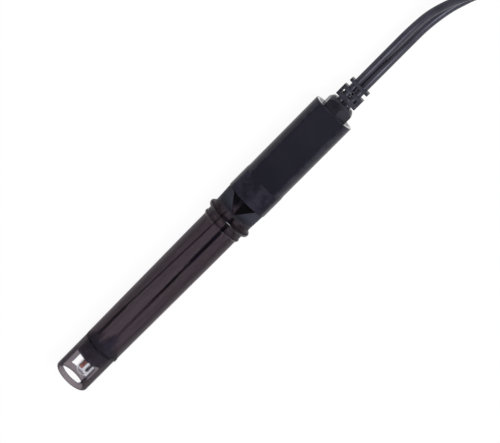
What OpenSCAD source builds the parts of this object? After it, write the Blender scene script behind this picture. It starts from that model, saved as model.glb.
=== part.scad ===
// Combination pH and temperature probe for water testing, lying on a bench.
// The axis runs along X, with the sensing tip at -X and the two cords at +X.
// The nameplate faces +Z. The origin is under the middle of the probe's length.
// Stations named _u are distances along the axis, measured from the tip.

/* [Tip guard] */
// Outside diameter of the guard
guard_d = 15.2; // [14.6:0.1:15.4]
// Wall of the guard
guard_wall = 1.5; // [1.2:0.1:1.7]
// Length of the guard from its open end to the seam
guard_len = 18.3; // [17:0.1:22]
// Height of the ring at the open end
guard_ring = 2.3; // [1.5:0.1:3]
// Length of each window
window_len = 9.6; // [8:0.1:12]
// Arc of each window, in degrees
window_arc = 104; // [98:2:108]
// Corner radius of the windows
window_r = 1; // [0.5:0.1:1.5]
// Turn of the windows about the axis, in degrees
guard_roll = 12.6; // [0:0.1:30]
// Extra length of the keyed half of the rim
rim_key = 0.6; // [0.3:0.1:1]
// Gap at the seam between guard and stem
seam_gap = 0.2; // [0.1:0.05:0.4]
// Radial clearance of the guard on the sensor plug
guard_clear = 0.15; // [0.1:0.05:0.3]
// How far the pull nib stands out of the guard
nib_out = 0.35; // [0.2:0.05:0.6]

/* [Sensor] */
// Diameter of the glass bulb and its tube
bulb_d = 6; // [5.5:0.1:6.4]
// Glass wall
glass_wall = 0.45; // [0.3:0.05:0.6]
// Distance from the guard's open end to the bulb's tip
bulb_back = 3.7; // [3:0.1:5]
// Sideways place of the bulb
bulb_y = -1.2; // [-1.5:0.1:0]
// Diameter of the red-brown inner element
element_d = 1.9; // [1.5:0.1:2]
// Diameter of the thermistor sheath
thermistor_d = 1.3; // [1:0.1:1.5]
// Distance from the bulb's tip to the tips of the element and thermistor
element_back = 2.3; // [1.5:0.1:3]
// Length of the plug past the seam, inside the stem
plug_in = 2.5; // [2.2:0.1:5]
// Diameter of the lead collar on the plug
collar_d = 3.5; // [3:0.1:4]
// Length of the lead collar
collar_len = 4.2; // [3:0.1:6]
// Diameter of the ceramic junction
junction_d = 1.2; // [0.8:0.1:1.5]
// Cross section of the plug's O-ring
o_ring_d = 0.8; // [0.6:0.05:1]

/* [Wires] */
// Diameter of the coated reference rod
ref_rod_d = 1.2; // [0.8:0.1:1.3]
// Length of the reference rod past the plug
ref_rod_len = 16; // [10:0.5:25]
// Diameter of the silver wire
ref_wire_d = 0.5; // [0.4:0.05:0.8]
// Sideways place of the reference rod
ref_y = 4.3; // [3.8:0.1:4.3]
// Diameter of the inner lead
lead_d = 1.1; // [0.6:0.1:1.1]
// Sideways place of the lead
lead_y = -1.55; // [-2:0.05:-1]
// Length of the lead past the collar
lead_len = 35; // [25:0.5:40]
// Length of the soldered splice
splice_len = 4; // [3:0.1:6]
// Diameter of the grey splice sleeve
sleeve_d = 1.4; // [1.1:0.1:1.6]
// Length of the grey splice sleeve
sleeve_len = 3.8; // [2:0.1:6]
// Diameter of the black inner cable
cable_d = 1.55; // [1.2:0.05:1.8]

/* [Stem] */
// Diameter of the stem at the seam
stem_tip_d = 15.4; // [15:0.1:15.8]
// Diameter of the stem at its land, under the rings
stem_d = 16; // [15.9:0.1:16.4]
// Bore of the stem
bore_d = 12.2; // [12.2:0.1:13]
// Length from the seam to the head's rim
stem_len = 82.1; // [78:0.1:95]
// Length of the straight land below the rings
land_len = 12; // [8:0.5:16]
// Diameter of the small ring
ring_small_d = 17.2; // [16.8:0.1:17.6]
// Diameter of the large ring
ring_large_d = 19.52; // [18.8:0.02:20.4]
// Distance between the rings
ring_gap = 4; // [3:0.1:5]
// Distance from the large ring to the head's rim
ring_back = 9.9; // [9:0.1:12]
// Diameter between the rings
waist_d = 16.5; // [16.1:0.1:16.8]
// Diameter of the neck after the large ring
neck_d = 16.9; // [16.5:0.1:17.2]
// Diameter of the neck at the head's rim
neck_end_d = 17.5; // [17.2:0.1:17.8]
// Distance of the neck's flat from the axis, at the rim
neck_flat = 6.8; // [6.5:0.1:7.4]
// Length over which the neck's flat grows
neck_len = 6.8; // [5:0.1:7.5]

/* [Head] */
// Length of the head
head_len = 47.1; // [42:0.1:60]
// Diameter of the head's skirt
skirt_d = 18; // [17.9:0.1:18.6]
// Length of the skirt
skirt_len = 9.2; // [8.6:0.1:12]
// Diameter of the head's body
head_d = 17.66; // [17.4:0.02:17.8]
// Distance of the skirt's front from the axis
skirt_flat = 7.05; // [6.9:0.05:7.6]
// Radius of the skirt's crowned front
skirt_crown = 14; // [11:0.5:30]
// Distance of the nameplate's seat from the axis
seat_z = 6.15; // [6:0.05:6.4]
// Lip left at the head's end
end_lip = 0.7; // [0.5:0.1:1.2]
// Height of the lip over the nameplate's seat
lip_h = 0.45; // [0.4:0.05:0.8]
// Wall of the head
head_wall = 1.4; // [1.2:0.1:1.6]
// Rounding of the head's end edge
end_round = 0.25; // [0.2:0.05:0.8]
// Width of the nameplate
plate_w = 11.4; // [10:0.1:11.8]
// Thickness of the nameplate
plate_t = 0.35; // [0.3:0.05:0.6]
// Length of the stem's spigot inside the head
spigot_len = 7; // [5:0.1:8]
// Diameter of the spigot
spigot_d = 11.8; // [11.6:0.1:12]
// Bore of the spigot
spigot_bore = 9.8; // [9.6:0.1:10]
// Clearance of pieces that are pressed or glued together
glue_gap = 0.05; // [0.03:0.01:0.1]
// Length of the end cap
cap_len = 4; // [3:0.1:6]
// Length of the terminal board
board_len = 24; // [18:0.5:28]
// Thickness of the terminal board
board_t = 1; // [0.8:0.1:1.6]

/* [Cord exit] */
// Width of the gland nut across its corners
nut_d = 12.3; // [12:0.1:13]
// Height of the gland nut
nut_len = 5; // [4:0.1:7]
// Height of the nut's chamfer
nut_chamfer = 2.1; // [1:0.1:3]
// Diameter of the nut's top face
nut_top_d = 9.2; // [8.8:0.1:10]
// Turn of the nut about the axis, in degrees
nut_roll = 10.3; // [0:0.1:30]
// Diameter of the gland's stub
stub_d = 8.6; // [8.2:0.1:9]
// Width of the strain relief
relief_w = 9.5; // [9:0.1:10.5]
// Width of the strain relief's end flange
flange_w = 8.9; // [8.4:0.1:10]
// Depth of the strain relief
relief_t = 6.2; // [5.8:0.1:7]
// Length of the strain relief
relief_len = 9.3; // [8:0.1:12]
// Width of the webs between the cords
relief_web = 0.6; // [0.4:0.1:1.2]
// Diameter of each cord
cord_d = 3.1; // [2.8:0.1:3.1]
// Spacing of the two cords
cord_pitch = 3.14; // [3.14:0.02:3.4]

/* [Hank] */
// Length of the straight runs
hank_run = 62; // [50:1:62]
// Inside radius of the folds, on the cord's centre
fold_r = 9.3; // [9.3:0.1:11]
// Step between loops in a layer
loop_step = 3.75; // [3.75:0.05:4.2]
// Step between layers
layer_step = 3.65; // [3.65:0.05:4]
// How far the tie draws each side in
waist_in = 4; // [2:0.1:4.2]
// Width of the tie
tie_w = 4.5; // [3:0.1:8]
// Thickness of the tie
tie_t = 1; // [0.8:0.1:1.1]

/* [Plugs] */
// Diameter of the bayonet sleeve
bnc_d = 14.5; // [14:0.1:15]
// Length of the bayonet plug's moulded boot
bnc_boot_len = 18; // [14:0.5:24]
// Length of the bayonet plug's metal body
bnc_len = 26; // [24:0.1:30]
// Diameter of the outer contact
bnc_contact_d = 8.1; // [8:0.05:8.3]
// Running clearance of the bayonet sleeve
bnc_clear = 0.2; // [0.15:0.05:0.3]
// Diameter of the phono plug's grip
phono_d = 9.6; // [9.2:0.1:11]
// Length of the phono plug's grip
phono_len = 18; // [14:0.5:22]
// Diameter of the phono plug's pin
phono_pin_d = 3.2; // [3:0.05:3.4]

/* [Hidden] */
$fn = 64;

// A cut runs this far past a face so that it leaves no skin.
over = 1;

// Stations along the axis.
seam_u = guard_len;
rim_u = seam_u + stem_len;
head_u = rim_u + head_len;
nut_u = head_u + nut_len;
exit_u = nut_u + relief_len;
tip_x = -exit_u / 2;
axis_z = ring_large_d / 2;

// Guard and sensor.
guard_r = guard_d / 2;
guard_bore_r = guard_r - guard_wall;
window_u = guard_ring + window_len;
window_corner = asin(window_r / (guard_r - guard_wall / 2));
tip_round = 1;
nib = [1.4, 1.2];
plug_r = guard_bore_r - guard_clear;
plug_u = seam_u + plug_in;
collar_u = plug_u + collar_len;
collar_y = lead_y - 0.2;
bulb_r = bulb_d / 2;
bulb_u = bulb_back + bulb_r;
tube_end_u = seam_u + 1.2;
tube_bore_r = bulb_r - glass_wall;
tube_bung_u = window_u + 0.5;
element_u = bulb_back + element_back;
element_end_u = tube_end_u - 2;
element_off = tube_bore_r - element_d / 2 - 0.25;
thermistor_off = -(tube_bore_r - thermistor_d / 2 - 0.6);
groove_u = plug_u - 0.6;
groove_t = o_ring_d + 2 * glue_gap;
junction_at = [3.4, 2.2];

// Wires inside the stem.
ref_rod_u = plug_u - 1.4;
ref_top_u = plug_u + ref_rod_len;
ref_sleeve_d = 0.9;
ref_sleeve_y = 2.4;
ref_sleeve_u = rim_u - 5.6;
lead_top_u = collar_u + lead_len;
splice_u = lead_top_u + splice_len;
splice_d = 0.8;
sleeve_top_u = splice_u + sleeve_len;
cable_y = -1.45;
cable_end_u = rim_u + spigot_len + 5;
ferrule_d = 4.8;
ferrule_y = -2.3;
ferrule_len = 6.6;
ferrule_nose = 2.6;
ferrule_nose_d = 2.1;

// Stem.
stem_r = stem_d / 2;
bore_r = bore_d / 2;
large_u = rim_u - ring_back;
small_u = large_u - ring_gap;
bead_small = 1.6;
bead_large = 2.2;
land_u = small_u - bead_small / 2 - land_len;
loft_u = rim_u - neck_len;
bore_end_u = rim_u - 2.4;
slice = 0.02;

// Head.
head_r = head_d / 2;
skirt_r = skirt_d / 2;
skirt_u = rim_u + skirt_len;
shoulder_len = 1.6;
cavity_r = head_r - head_wall;
cavity_top = seat_z - head_wall;
cavity_u = rim_u + spigot_len + 1.5;
plate_gap = 0.3;
plate_r = 0.8;
seat_w = 2 * sqrt(pow(skirt_r, 2) - pow(seat_z, 2)) + 2 * glue_gap;
plate_u = skirt_u + plate_gap;
plate_end_u = head_u - end_lip - plate_gap;
cap_u = head_u - cap_len;
board_end_u = cap_u - 2.5;
board_u = board_end_u - board_len;
board_z = -cord_d / 2 - glue_gap;
board_half = sqrt(pow(cavity_r - glue_gap, 2) - pow(board_z - board_t, 2));
post_d = 0.8;
post_in = 0.8;

// Cord exit.
cord_r = cord_d / 2;
cord_off = cord_pitch / 2;
hole_r = cord_r + glue_gap;
relief_side = 1.2;
relief_r = 0.7;
pip_r = 0.75;
pip_out = 0.3;
pin_hole_r = 0.4;
// Shares of the strain relief's length at which its ribs start and end.
ribs = [[0.11, 0.31], [0.46, 0.63], [0.86, 1]];

// Cords, hanks and tie. Each hank is a cord's loops in layers, one hank on the other.
layers = 4;
exit_x = tip_x + exit_u;
hank_x = 145;
hank_y = 4.85;
fold_out_r = fold_r + loop_step;
tie_gap = 0.25;
waist_lift = (tie_t + tie_gap) / 0.9;
ph_z = cord_r;
temp_z = cord_r + layers * layer_step;
run_rings = 5;
fold_rings = 7;
loop_rings = 2 * (run_rings + fold_rings);
ph_start = [hank_x - cord_d, hank_y - fold_out_r, ph_z];
temp_start = [hank_x - cord_d, hank_y - fold_out_r, temp_z];
ph_finish = [hank_x + hank_run + cord_d, hank_y - fold_out_r, ph_z + (layers - 1) * layer_step];
temp_finish = [hank_x + hank_run + cord_d, hank_y - fold_out_r, temp_z + (layers - 1) * layer_step];

// Places of the two plugs' rear ends.
bnc_at = [229, -2.4, bnc_d / 2 + 0.3];
phono_at = [246, 12, phono_d / 2 + 0.3];

// Hand-chosen points of the free stretches, between their ends.
ph_points = [
    [92, -cord_off, 9.2], [100, -cord_off, 7.2], [108, -cord_off, 4.7], [116, -2, 2.7],
    [124, -3.4, 1.8], [131, -5.6, 1.6]
];
temp_points = [
    [93, cord_off, 9.5], [101, cord_off, 9.1], [109, 1.4, 9.2], [117, 0.6, 10.2],
    [124, -1.4, 11.9], [130, -4, 13.8]
];
ph_end_points = [[217, -7.3, 11.6], [221, -5.2, 9.6]];
temp_end_points = [
    [218, -7, 26], [222, -4.4, 23.6], [226, -0.8, 20], [229.5, 3, 16],
    [233, 6.6, 12], [236, 9.3, 8.7], [239, 11.2, 6.3]
];

// Direction helpers for the swept tubes.
function unit(v) = v / norm(v);
function heading(p, i) =
    let (last = len(p) - 1)
    unit(p[min(i + 1, last)] - p[max(i - 1, 0)]);
function ring_point(centre, dir, radius, turn) =
    let (side = unit(cross([0, 0, 1], dir)))
    let (up = cross(dir, side))
    centre + radius * (cos(turn) * side + sin(turn) * up);

// A straight end of one cord diameter before and after the hand-chosen points.
function with_ends(first, points, last) =
    let (straight = [cord_d, 0, 0])
    concat([first, first + straight], points, [last - straight, last]);

// The loops of one hank, from its first layer at height z0.
function hank_radius(layer, k) =
    let (inward = layer % 2 == 0)
    let (share = max(0, k - run_rings) / (loop_rings - run_rings))
    inward ? fold_out_r - loop_step * share : fold_r + loop_step * share;
function hank_height(z0, layer, k) =
    let (climb = layer == 0 ? 1 : (1 - cos(180 * min(1, k / run_rings))) / 2)
    z0 + layer_step * (max(0, layer - 1) + (layer == 0 ? 0 : climb));
function waist(k) = pow(sin(180 * k / run_rings), 2);
function fold_point(x, r, turn, z) = [x + r * cos(turn), hank_y + r * sin(turn), z];
function run_point(x, side, r, k, z) =
    [x, hank_y + side * (r - waist_in * waist(k)), z + waist_lift * waist(k)];
function loop_point(z0, layer, k) =
    let (r = hank_radius(layer, k))
    let (z = hank_height(z0, layer, k))
    let (back = run_rings + fold_rings)
    k <= run_rings ? run_point(hank_x + hank_run * k / run_rings, -1, r, k, z)
    : k <= back ? fold_point(hank_x + hank_run, r, 180 * (k - run_rings) / fold_rings - 90, z)
    : k <= back + run_rings
        ? run_point(hank_x + hank_run * (1 - (k - back) / run_rings), 1, r, k - back, z)
        : fold_point(hank_x, r, 180 * (k - back - run_rings) / fold_rings + 90, z);
function hank_path(z0) =
    let (start = [hank_x - cord_d, hank_y - fold_out_r, z0])
    let (top = z0 + (layers - 1) * layer_step)
    concat(
        [start],
        [for (layer = [0:layers - 1]) for (k = [0:loop_rings - 1]) loop_point(z0, layer, k)],
        [for (k = [0:run_rings]) run_point(hank_x + hank_run * k / run_rings, -1, fold_out_r, k, top)],
        [[hank_x + hank_run + cord_d, hank_y - fold_out_r, top]]
    );
function least_gap(p) =
    min([for (i = [0:len(p) - 1]) for (j = [i + run_rings:1:len(p) - 1]) norm(p[i] - p[j])]) - cord_d;
function path_length(p) = [for (i = [1:len(p) - 1]) norm(p[i] - p[i - 1])] * [for (i = [1:len(p) - 1]) 1];

// Places children at a station of the axis, with their Z along +X.
module at(u, y = 0, z = 0) {
    translate([tip_x + u, y, axis_z + z]) rotate([0, 90, 0]) children();
}

// A round bar from one station to another.
module bar(from_u, to_u, d, y = 0, z = 0) {
    at(from_u, y, z) cylinder(d = d, h = to_u - from_u);
}

// Places children on a plug's axis, x along it from its rear end.
module plug_at(place, x = 0) {
    translate(place + [x, 0, 0]) rotate([0, 90, 0]) children();
}

// Part of a turned disc between two angles.
module sector(r, arc, h) {
    rotate([0, 0, -arc / 2]) rotate_extrude(angle = arc) square([r, h]);
}

module rounded(x, y, r) {
    square([x - 2 * r, y], center = true);
    square([x, y - 2 * r], center = true);
    for (sx = [-1, 1], sy = [-1, 1]) translate([sx * (x / 2 - r), sy * (y / 2 - r)]) circle(r);
}

// The slot that takes both cords side by side.
module twin_hole() {
    for (side = [-1, 1]) translate([0, side * cord_off]) circle(hole_r);
    square([2 * hole_r, cord_pitch], center = true);
}

// A tube of flat triangles swept along a path.
module swept(path, sides) {
    last = len(path) - 1;
    rings = [for (i = [0:last]) for (s = [0:sides - 1])
        ring_point(path[i], heading(path, i), cord_r, 360 * s / sides)];
    near = [for (s = [1:sides - 2]) [0, s, s + 1]];
    far = [for (s = [1:sides - 2]) [last * sides, last * sides + s + 1, last * sides + s]];
    walls = [for (i = [0:last - 1]) for (s = [0:sides - 1]) for (half = [0, 1])
        let (a = i * sides + s, b = i * sides + (s + 1) % sides)
        half == 0 ? [a, a + sides, b + sides] : [a, b + sides, b]];
    polyhedron(rings, concat(near, far, walls));
}

module guard_window() {
    inner = window_len - 2 * window_r;
    translate([0, 0, guard_ring + window_r]) sector(guard_d, window_arc, inner);
    translate([0, 0, guard_ring]) sector(guard_d, window_arc - 2 * window_corner, window_len);
    for (side = [-1, 1], u = [guard_ring + window_r, window_u - window_r])
        rotate([0, 0, side * (window_arc / 2 - window_corner)])
            translate([guard_bore_r / 2, 0, u]) rotate([0, 90, 0]) cylinder(r = window_r, h = guard_d);
}

module tip_guard() color([0.32, 0.3, 0.31, 0.6]) at(0) {
    rim = guard_len - seam_gap;
    difference() {
        rotate_extrude() {
            translate([guard_bore_r, tip_round]) square([guard_wall, rim - tip_round]);
            translate([guard_bore_r, 0]) square([guard_wall - tip_round, tip_round]);
            translate([guard_r - tip_round, tip_round]) intersection() {
                circle(tip_round);
                translate([0, -tip_round]) square(tip_round);
            }
        }
        for (turn = [180, 0]) rotate([0, 0, turn - guard_roll]) guard_window();
    }
    translate([0, 0, rim]) rotate([0, 0, 180]) rotate_extrude(angle = 180)
        translate([guard_bore_r, 0]) square([guard_wall, rim_key]);
    translate([-nib.y / 2, -guard_r - nib_out, rim + rim_key - nib.x])
        cube([nib.y, nib_out + guard_wall / 2, nib.x]);
}

module sensor_plug() color([0.27, 0.27, 0.35]) difference() {
    union() {
        bar(window_u, plug_u, 2 * plug_r);
        bar(plug_u - over, collar_u, collar_d, collar_y);
    }
    bar(window_u - over, tube_end_u + glue_gap, bulb_d + 2 * glue_gap, bulb_y);
    bar(tube_end_u, collar_u + over, lead_d + 2 * glue_gap, lead_y);
    bar(ref_rod_u - glue_gap, plug_u + over, ref_rod_d + 2 * glue_gap, ref_y);
    bar(window_u - over, plug_u + over, junction_d + 2 * glue_gap, junction_at.x, junction_at.y);
    at(groove_u - groove_t / 2) difference() {
        cylinder(r = plug_r + over, h = groove_t);
        translate([0, 0, -over]) cylinder(r = bore_r - o_ring_d - 2 * glue_gap, h = groove_t + 2 * over);
    }
}

module plug_o_ring() color([0.08, 0.08, 0.08]) at(groove_u)
    rotate_extrude() translate([bore_r - o_ring_d / 2 - glue_gap, 0]) circle(d = o_ring_d);

module glass_bulb() color([0.8, 0.8, 0.82, 0.35]) at(bulb_u, bulb_y) difference() {
    union() {
        sphere(r = bulb_r);
        cylinder(r = bulb_r, h = tube_end_u - bulb_u);
    }
    sphere(r = tube_bore_r);
    cylinder(r = tube_bore_r, h = tube_end_u - bulb_u + over);
}

module tube_bung() color([0.1, 0.1, 0.1]) difference() {
    bar(tube_bung_u, tube_end_u - glue_gap, 2 * (tube_bore_r - glue_gap), bulb_y);
    bar(tube_bung_u - over, element_end_u + glue_gap, element_d + 2 * glue_gap, bulb_y + element_off);
    bar(tube_bung_u - over, element_end_u + glue_gap, thermistor_d + 2 * glue_gap, bulb_y + thermistor_off);
}

module inner_element() color([0.43, 0.2, 0.14])
    bar(element_u, element_end_u, element_d, bulb_y + element_off);

module thermistor() color([0.14, 0.13, 0.15]) at(element_u, bulb_y + thermistor_off) {
    translate([0, 0, thermistor_d / 2]) sphere(d = thermistor_d);
    translate([0, 0, thermistor_d / 2])
        cylinder(d = thermistor_d, h = element_end_u - element_u - thermistor_d / 2);
}

module reference_junction() color([0.9, 0.88, 0.82])
    bar(window_u, plug_u, junction_d, junction_at.x, junction_at.y);

module reference_rod() color([0.16, 0.15, 0.17]) bar(ref_rod_u, ref_top_u, ref_rod_d, ref_y);

module reference_wire() color([0.3, 0.3, 0.32]) {
    run = ref_sleeve_u - ref_top_u - 2 * glue_gap;
    slope = atan((ref_y - ref_sleeve_y) / run);
    at(ref_top_u + glue_gap, ref_y) rotate([slope, 0, 0]) cylinder(d = ref_wire_d, h = run / cos(slope));
}

module wire_sleeve() color([0.04, 0.04, 0.05])
    bar(ref_sleeve_u, cable_end_u, ref_sleeve_d, ref_sleeve_y);

module inner_lead() color([0.14, 0.14, 0.16]) bar(tube_end_u + glue_gap, lead_top_u, lead_d, lead_y);

module splice_joint() color([0.06, 0.05, 0.07]) {
    bar(lead_top_u, splice_u, splice_d, lead_y);
    at(lead_top_u + splice_len / 3, lead_y + splice_d / 2) sphere(d = splice_d);
}

module splice_sleeve() color([0.2, 0.2, 0.22]) bar(splice_u, sleeve_top_u, sleeve_d, cable_y);

module inner_cable() color([0.03, 0.02, 0.04]) bar(sleeve_top_u, cable_end_u, cable_d, cable_y);

module cable_ferrule() color([0.03, 0.03, 0.04]) difference() {
    nose_u = rim_u - ferrule_len - ferrule_nose;
    union() {
        bar(rim_u - ferrule_len, rim_u + glue_gap, ferrule_d, ferrule_y);
        bar(nose_u, rim_u, ferrule_nose_d, cable_y);
    }
    bar(nose_u - over, rim_u + over, cable_d + 2 * glue_gap, cable_y);
}

module neck_loft() hull() {
    at(loft_u - slice) cylinder(d = neck_d, h = slice, $fn = 48);
    at(rim_u - slice) linear_extrude(slice) intersection() {
        circle(d = neck_end_d, $fn = 48);
        translate([-neck_flat, -neck_end_d]) square(2 * neck_end_d);
    }
}

module stem_tube() color([0.27, 0.25, 0.26, 0.6]) difference() {
    union() {
        at(0) rotate_extrude() {
            polygon([
                [bore_r, seam_u], [stem_tip_d / 2, seam_u], [stem_r, land_u], [stem_r, small_u],
                [waist_d / 2, small_u], [waist_d / 2, large_u], [neck_d / 2, large_u],
                [neck_d / 2, loft_u], [bore_r, loft_u]
            ]);
            translate([ring_small_d / 2 - bead_small / 2, small_u]) circle(d = bead_small);
            translate([ring_large_d / 2 - bead_large / 2, large_u]) circle(d = bead_large);
        }
        neck_loft();
        bar(rim_u - over, rim_u + spigot_len, spigot_d);
    }
    bar(seam_u - over, bore_end_u, bore_d);
    bar(bore_end_u - over, rim_u + spigot_len + over, spigot_bore);
    at(seam_u - over) rotate([0, 0, 180]) rotate_extrude(angle = 180)
        translate([bore_r - over, 0]) square([stem_tip_d, rim_key + over]);
}

module neck_bung() color([0.06, 0.06, 0.07]) difference() {
    bar(rim_u + 2 * glue_gap, rim_u + spigot_len, spigot_bore - 2 * glue_gap);
    bar(rim_u - over, rim_u + spigot_len + over, cable_d + 2 * glue_gap, cable_y);
    bar(rim_u - over, rim_u + spigot_len + over, ref_sleeve_d + 2 * glue_gap, ref_sleeve_y);
}

// The hollow of the head, flattened under the nameplate's seat.
module head_hollow(u, length, slack) at(u) linear_extrude(length) intersection() {
    circle(cavity_r - slack);
    translate([-cavity_top + slack, -head_d]) square(2 * head_d);
}

module head_shell() color([0.16, 0.16, 0.19]) difference() {
    at(0) rotate_extrude() {
        polygon([
            [0, rim_u], [skirt_r, rim_u], [skirt_r, skirt_u], [head_r, skirt_u + shoulder_len],
            [head_r, head_u - end_round], [head_r - end_round, head_u], [0, head_u]
        ]);
        translate([head_r - end_round, head_u - end_round]) circle(end_round);
    }
    at(rim_u - over) difference() {
        translate([-skirt_d, -skirt_d, 0]) cube([skirt_d, 2 * skirt_d, skirt_len + over]);
        translate([skirt_crown - skirt_flat, 0, -over]) cylinder(r = skirt_crown, h = skirt_len + 3 * over);
    }
    translate([tip_x + skirt_u, 0, axis_z + seat_z]) linear_extrude(head_d) nameplate_outline(0, seat_w);
    translate([tip_x + skirt_u, -head_d, axis_z + seat_z + lip_h]) cube([head_len, 2 * head_d, head_d]);
    bar(rim_u - over, rim_u + spigot_len + glue_gap, spigot_d + 2 * glue_gap);
    bar(rim_u, cavity_u + over, spigot_bore - 1);
    head_hollow(cavity_u, head_u - cavity_u + over, 0);
}

// Outline of the nameplate or its seat, from the skirt's shoulder along X.
module nameplate_outline(gap, width) {
    length = head_u - end_lip - skirt_u;
    difference() {
        translate([gap, -width / 2]) square([length - 2 * gap, width]);
        for (side = [-1, 1]) translate([gap, side * width / 2]) difference() {
            square(2 * plate_r, center = true);
            translate([plate_r, -side * plate_r]) circle(plate_r);
        }
    }
}

module nameplate() color([0.13, 0.13, 0.15])
    translate([tip_x + skirt_u, 0, axis_z + seat_z]) linear_extrude(plate_t) nameplate_outline(plate_gap, plate_w);

module terminal_board() color([0.1, 0.35, 0.2]) difference() {
    translate([tip_x + board_u, -board_half, axis_z + board_z - board_t])
        cube([board_len, 2 * board_half, board_t]);
    for (place = post_places()) translate(place - [0, 0, board_t + over])
        cylinder(d = post_d + 2 * glue_gap, h = board_t + 2 * over);
}

// Feet of the solder posts, on the board's upper face.
function post_places() = [for (side = [-1, 1]) for (row = [1, 2])
    [tip_x + board_u + board_len * row / 5, side * board_half / 2, axis_z + board_z]];

module terminal_posts() color([0.85, 0.7, 0.35]) for (place = post_places())
    translate(place - [0, 0, board_t + post_in]) cylinder(d = post_d, h = board_t + 2 * post_in);

module end_cap() color([0.15, 0.15, 0.18]) difference() {
    head_hollow(cap_u, cap_len, glue_gap);
    bar(cap_u - over, head_u + over, stub_d + 2 * glue_gap);
}

module cable_gland() color([0.17, 0.17, 0.19]) difference() {
    union() {
        intersection() {
            at(head_u) rotate([0, 0, 180 + nut_roll]) cylinder(d = nut_d, h = nut_len, $fn = 6);
            at(head_u) rotate_extrude() polygon([
                [0, 0], [nut_d / 2, 0], [nut_d / 2, nut_len - nut_chamfer], [nut_top_d / 2, nut_len], [0, nut_len]
            ]);
        }
        bar(cap_u, head_u + over, stub_d);
    }
    at(cap_u - over) linear_extrude(cap_len + nut_len + 2 * over) twin_hole();
}

module strain_relief() color([0.16, 0.16, 0.18]) at(nut_u) difference() {
    union() {
        for (i = [0:2]) translate([0, 0, ribs[i][0] * relief_len])
            linear_extrude((ribs[i][1] - ribs[i][0]) * relief_len)
                rounded(relief_t, i == 2 ? flange_w : relief_w, relief_r);
        linear_extrude(relief_len) square([relief_t - relief_r, relief_web], center = true);
        for (side = [-1, 1]) translate([0, side * (relief_w - side_w(side)) / 2, ribs[0][0] * relief_len])
            linear_extrude((ribs[1][1] - ribs[0][0]) * relief_len)
                square([relief_t - 2 * relief_r, side_w(side)], center = true);
        translate([pip_r - relief_t / 2 - pip_out, 0, (ribs[0][0] + ribs[0][1]) / 2 * relief_len]) sphere(pip_r);
    }
    translate([0, 0, -over]) linear_extrude(relief_len + 2 * over) twin_hole();
    translate([-relief_t, -relief_web / 2 - over, ribs[0][1] * relief_len])
        cube([2 * relief_t, relief_web + 2 * over, (ribs[1][0] - ribs[0][1]) * relief_len]);
    translate([-relief_t, 0, (ribs[1][0] + ribs[1][1]) / 2 * relief_len]) rotate([0, 90, 0])
        cylinder(r = pin_hole_r, h = relief_t);
}

// Thickness of a side bridge; the one at -Y fills the room beside its cord.
function side_w(side) = side > 0 ? relief_side : relief_w / 2 - cord_off - cord_r;

module cord_tails() color([0.2, 0.2, 0.23]) for (side = [-1, 1])
    bar(board_end_u - 4, exit_u, cord_d, side * cord_off);

module ph_cord() color([0.2, 0.2, 0.23])
    swept(with_ends([exit_x, -cord_off, axis_z], ph_points, ph_start), 8);

module temp_cord() color([0.2, 0.2, 0.23])
    swept(with_ends([exit_x, cord_off, axis_z], temp_points, temp_start), 8);

module ph_hank() color([0.2, 0.2, 0.23]) {
    path = hank_path(ph_z);
    echo("ph hank: least gap, length", least_gap(path), path_length(path));
    swept(path, 6);
}

module temp_hank() color([0.2, 0.2, 0.23]) {
    path = hank_path(temp_z);
    echo("temp hank: least gap, length", least_gap(path), path_length(path));
    swept(path, 6);
}

module ph_cord_end() color([0.2, 0.2, 0.23]) swept(with_ends(ph_finish, ph_end_points, bnc_at), 8);

module temp_cord_end() color([0.2, 0.2, 0.23]) swept(with_ends(temp_finish, temp_end_points, phono_at), 8);

module hank_tie() color([0.12, 0.12, 0.13]) {
    reach = waist_in * waist(2);
    low_y = hank_y - fold_out_r + reach - cord_r - tie_gap;
    high_y = hank_y + fold_out_r - loop_step / 2 - reach + cord_r + tie_gap;
    low_z = waist_lift * waist(2) - tie_gap;
    high_z = temp_z + (layers - 1) * layer_step + waist_lift * waist(2) + cord_r + tie_gap;
    width = high_y - low_y;
    height = high_z - low_z;
    middle = [hank_x + hank_run / 2 - tie_w / 2, (low_y + high_y) / 2, (low_z + high_z) / 2];
    translate(middle) rotate([0, 90, 0]) linear_extrude(tie_w) difference() {
        rounded(height + 2 * tie_t, width + 2 * tie_t, cord_r);
        rounded(height, width, cord_r - tie_t);
    }
    translate([middle.x - tie_t / 2, low_y + width / 4, high_z + tie_t]) cube([tie_w + tie_t, tie_w, 2 * tie_t]);
}

// Bayonet plug. Its pieces share these stations along its own axis.
bnc_rear = bnc_boot_len;
bnc_rear_d = 10.6;
bnc_rear_len = 9.5;
bnc_neck_d = 9;
bnc_neck_len = 4;
bnc_flange_d = 10.2;
bnc_flange_len = 1.2;
bnc_bore_d = bnc_contact_d - 1.2;
bnc_front_d = bnc_flange_d + 4 * bnc_clear;
bnc_pin_d = 1.35;
bnc_neck_x = bnc_rear + bnc_rear_len;
bnc_flange_x = bnc_neck_x + bnc_neck_len;
bnc_face_x = bnc_rear + bnc_len;
bnc_slot = [2.2, 6.5, 2.2];
bnc_flutes = 18;

// The tails of both plugs have rings with grooves between them, so that they bend.
tail_r = cord_r + 0.8;
tail_groove = 0.5;
function tail(length, flare, rings) = [
    for (i = [0:rings - 1]) for (p = [[0, 0], [0.55, 0], [0.55, 1], [1, 1]])
        [tail_r + flare * (i + p.x) / rings - tail_groove * p.y, length * (i + p.x) / rings]
];

module bnc_boot() color([0.1, 0.1, 0.11]) plug_at(bnc_at) rotate_extrude() polygon(concat(
    [[0, 0]], tail(bnc_boot_len / 2, 0.6, 5),
    [
        [tail_r + 0.6, bnc_boot_len / 2], [bnc_rear_d / 2 - 1, bnc_boot_len * 0.75],
        [bnc_rear_d / 2 - 0.4, bnc_boot_len], [0, bnc_boot_len]
    ]
));

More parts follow.
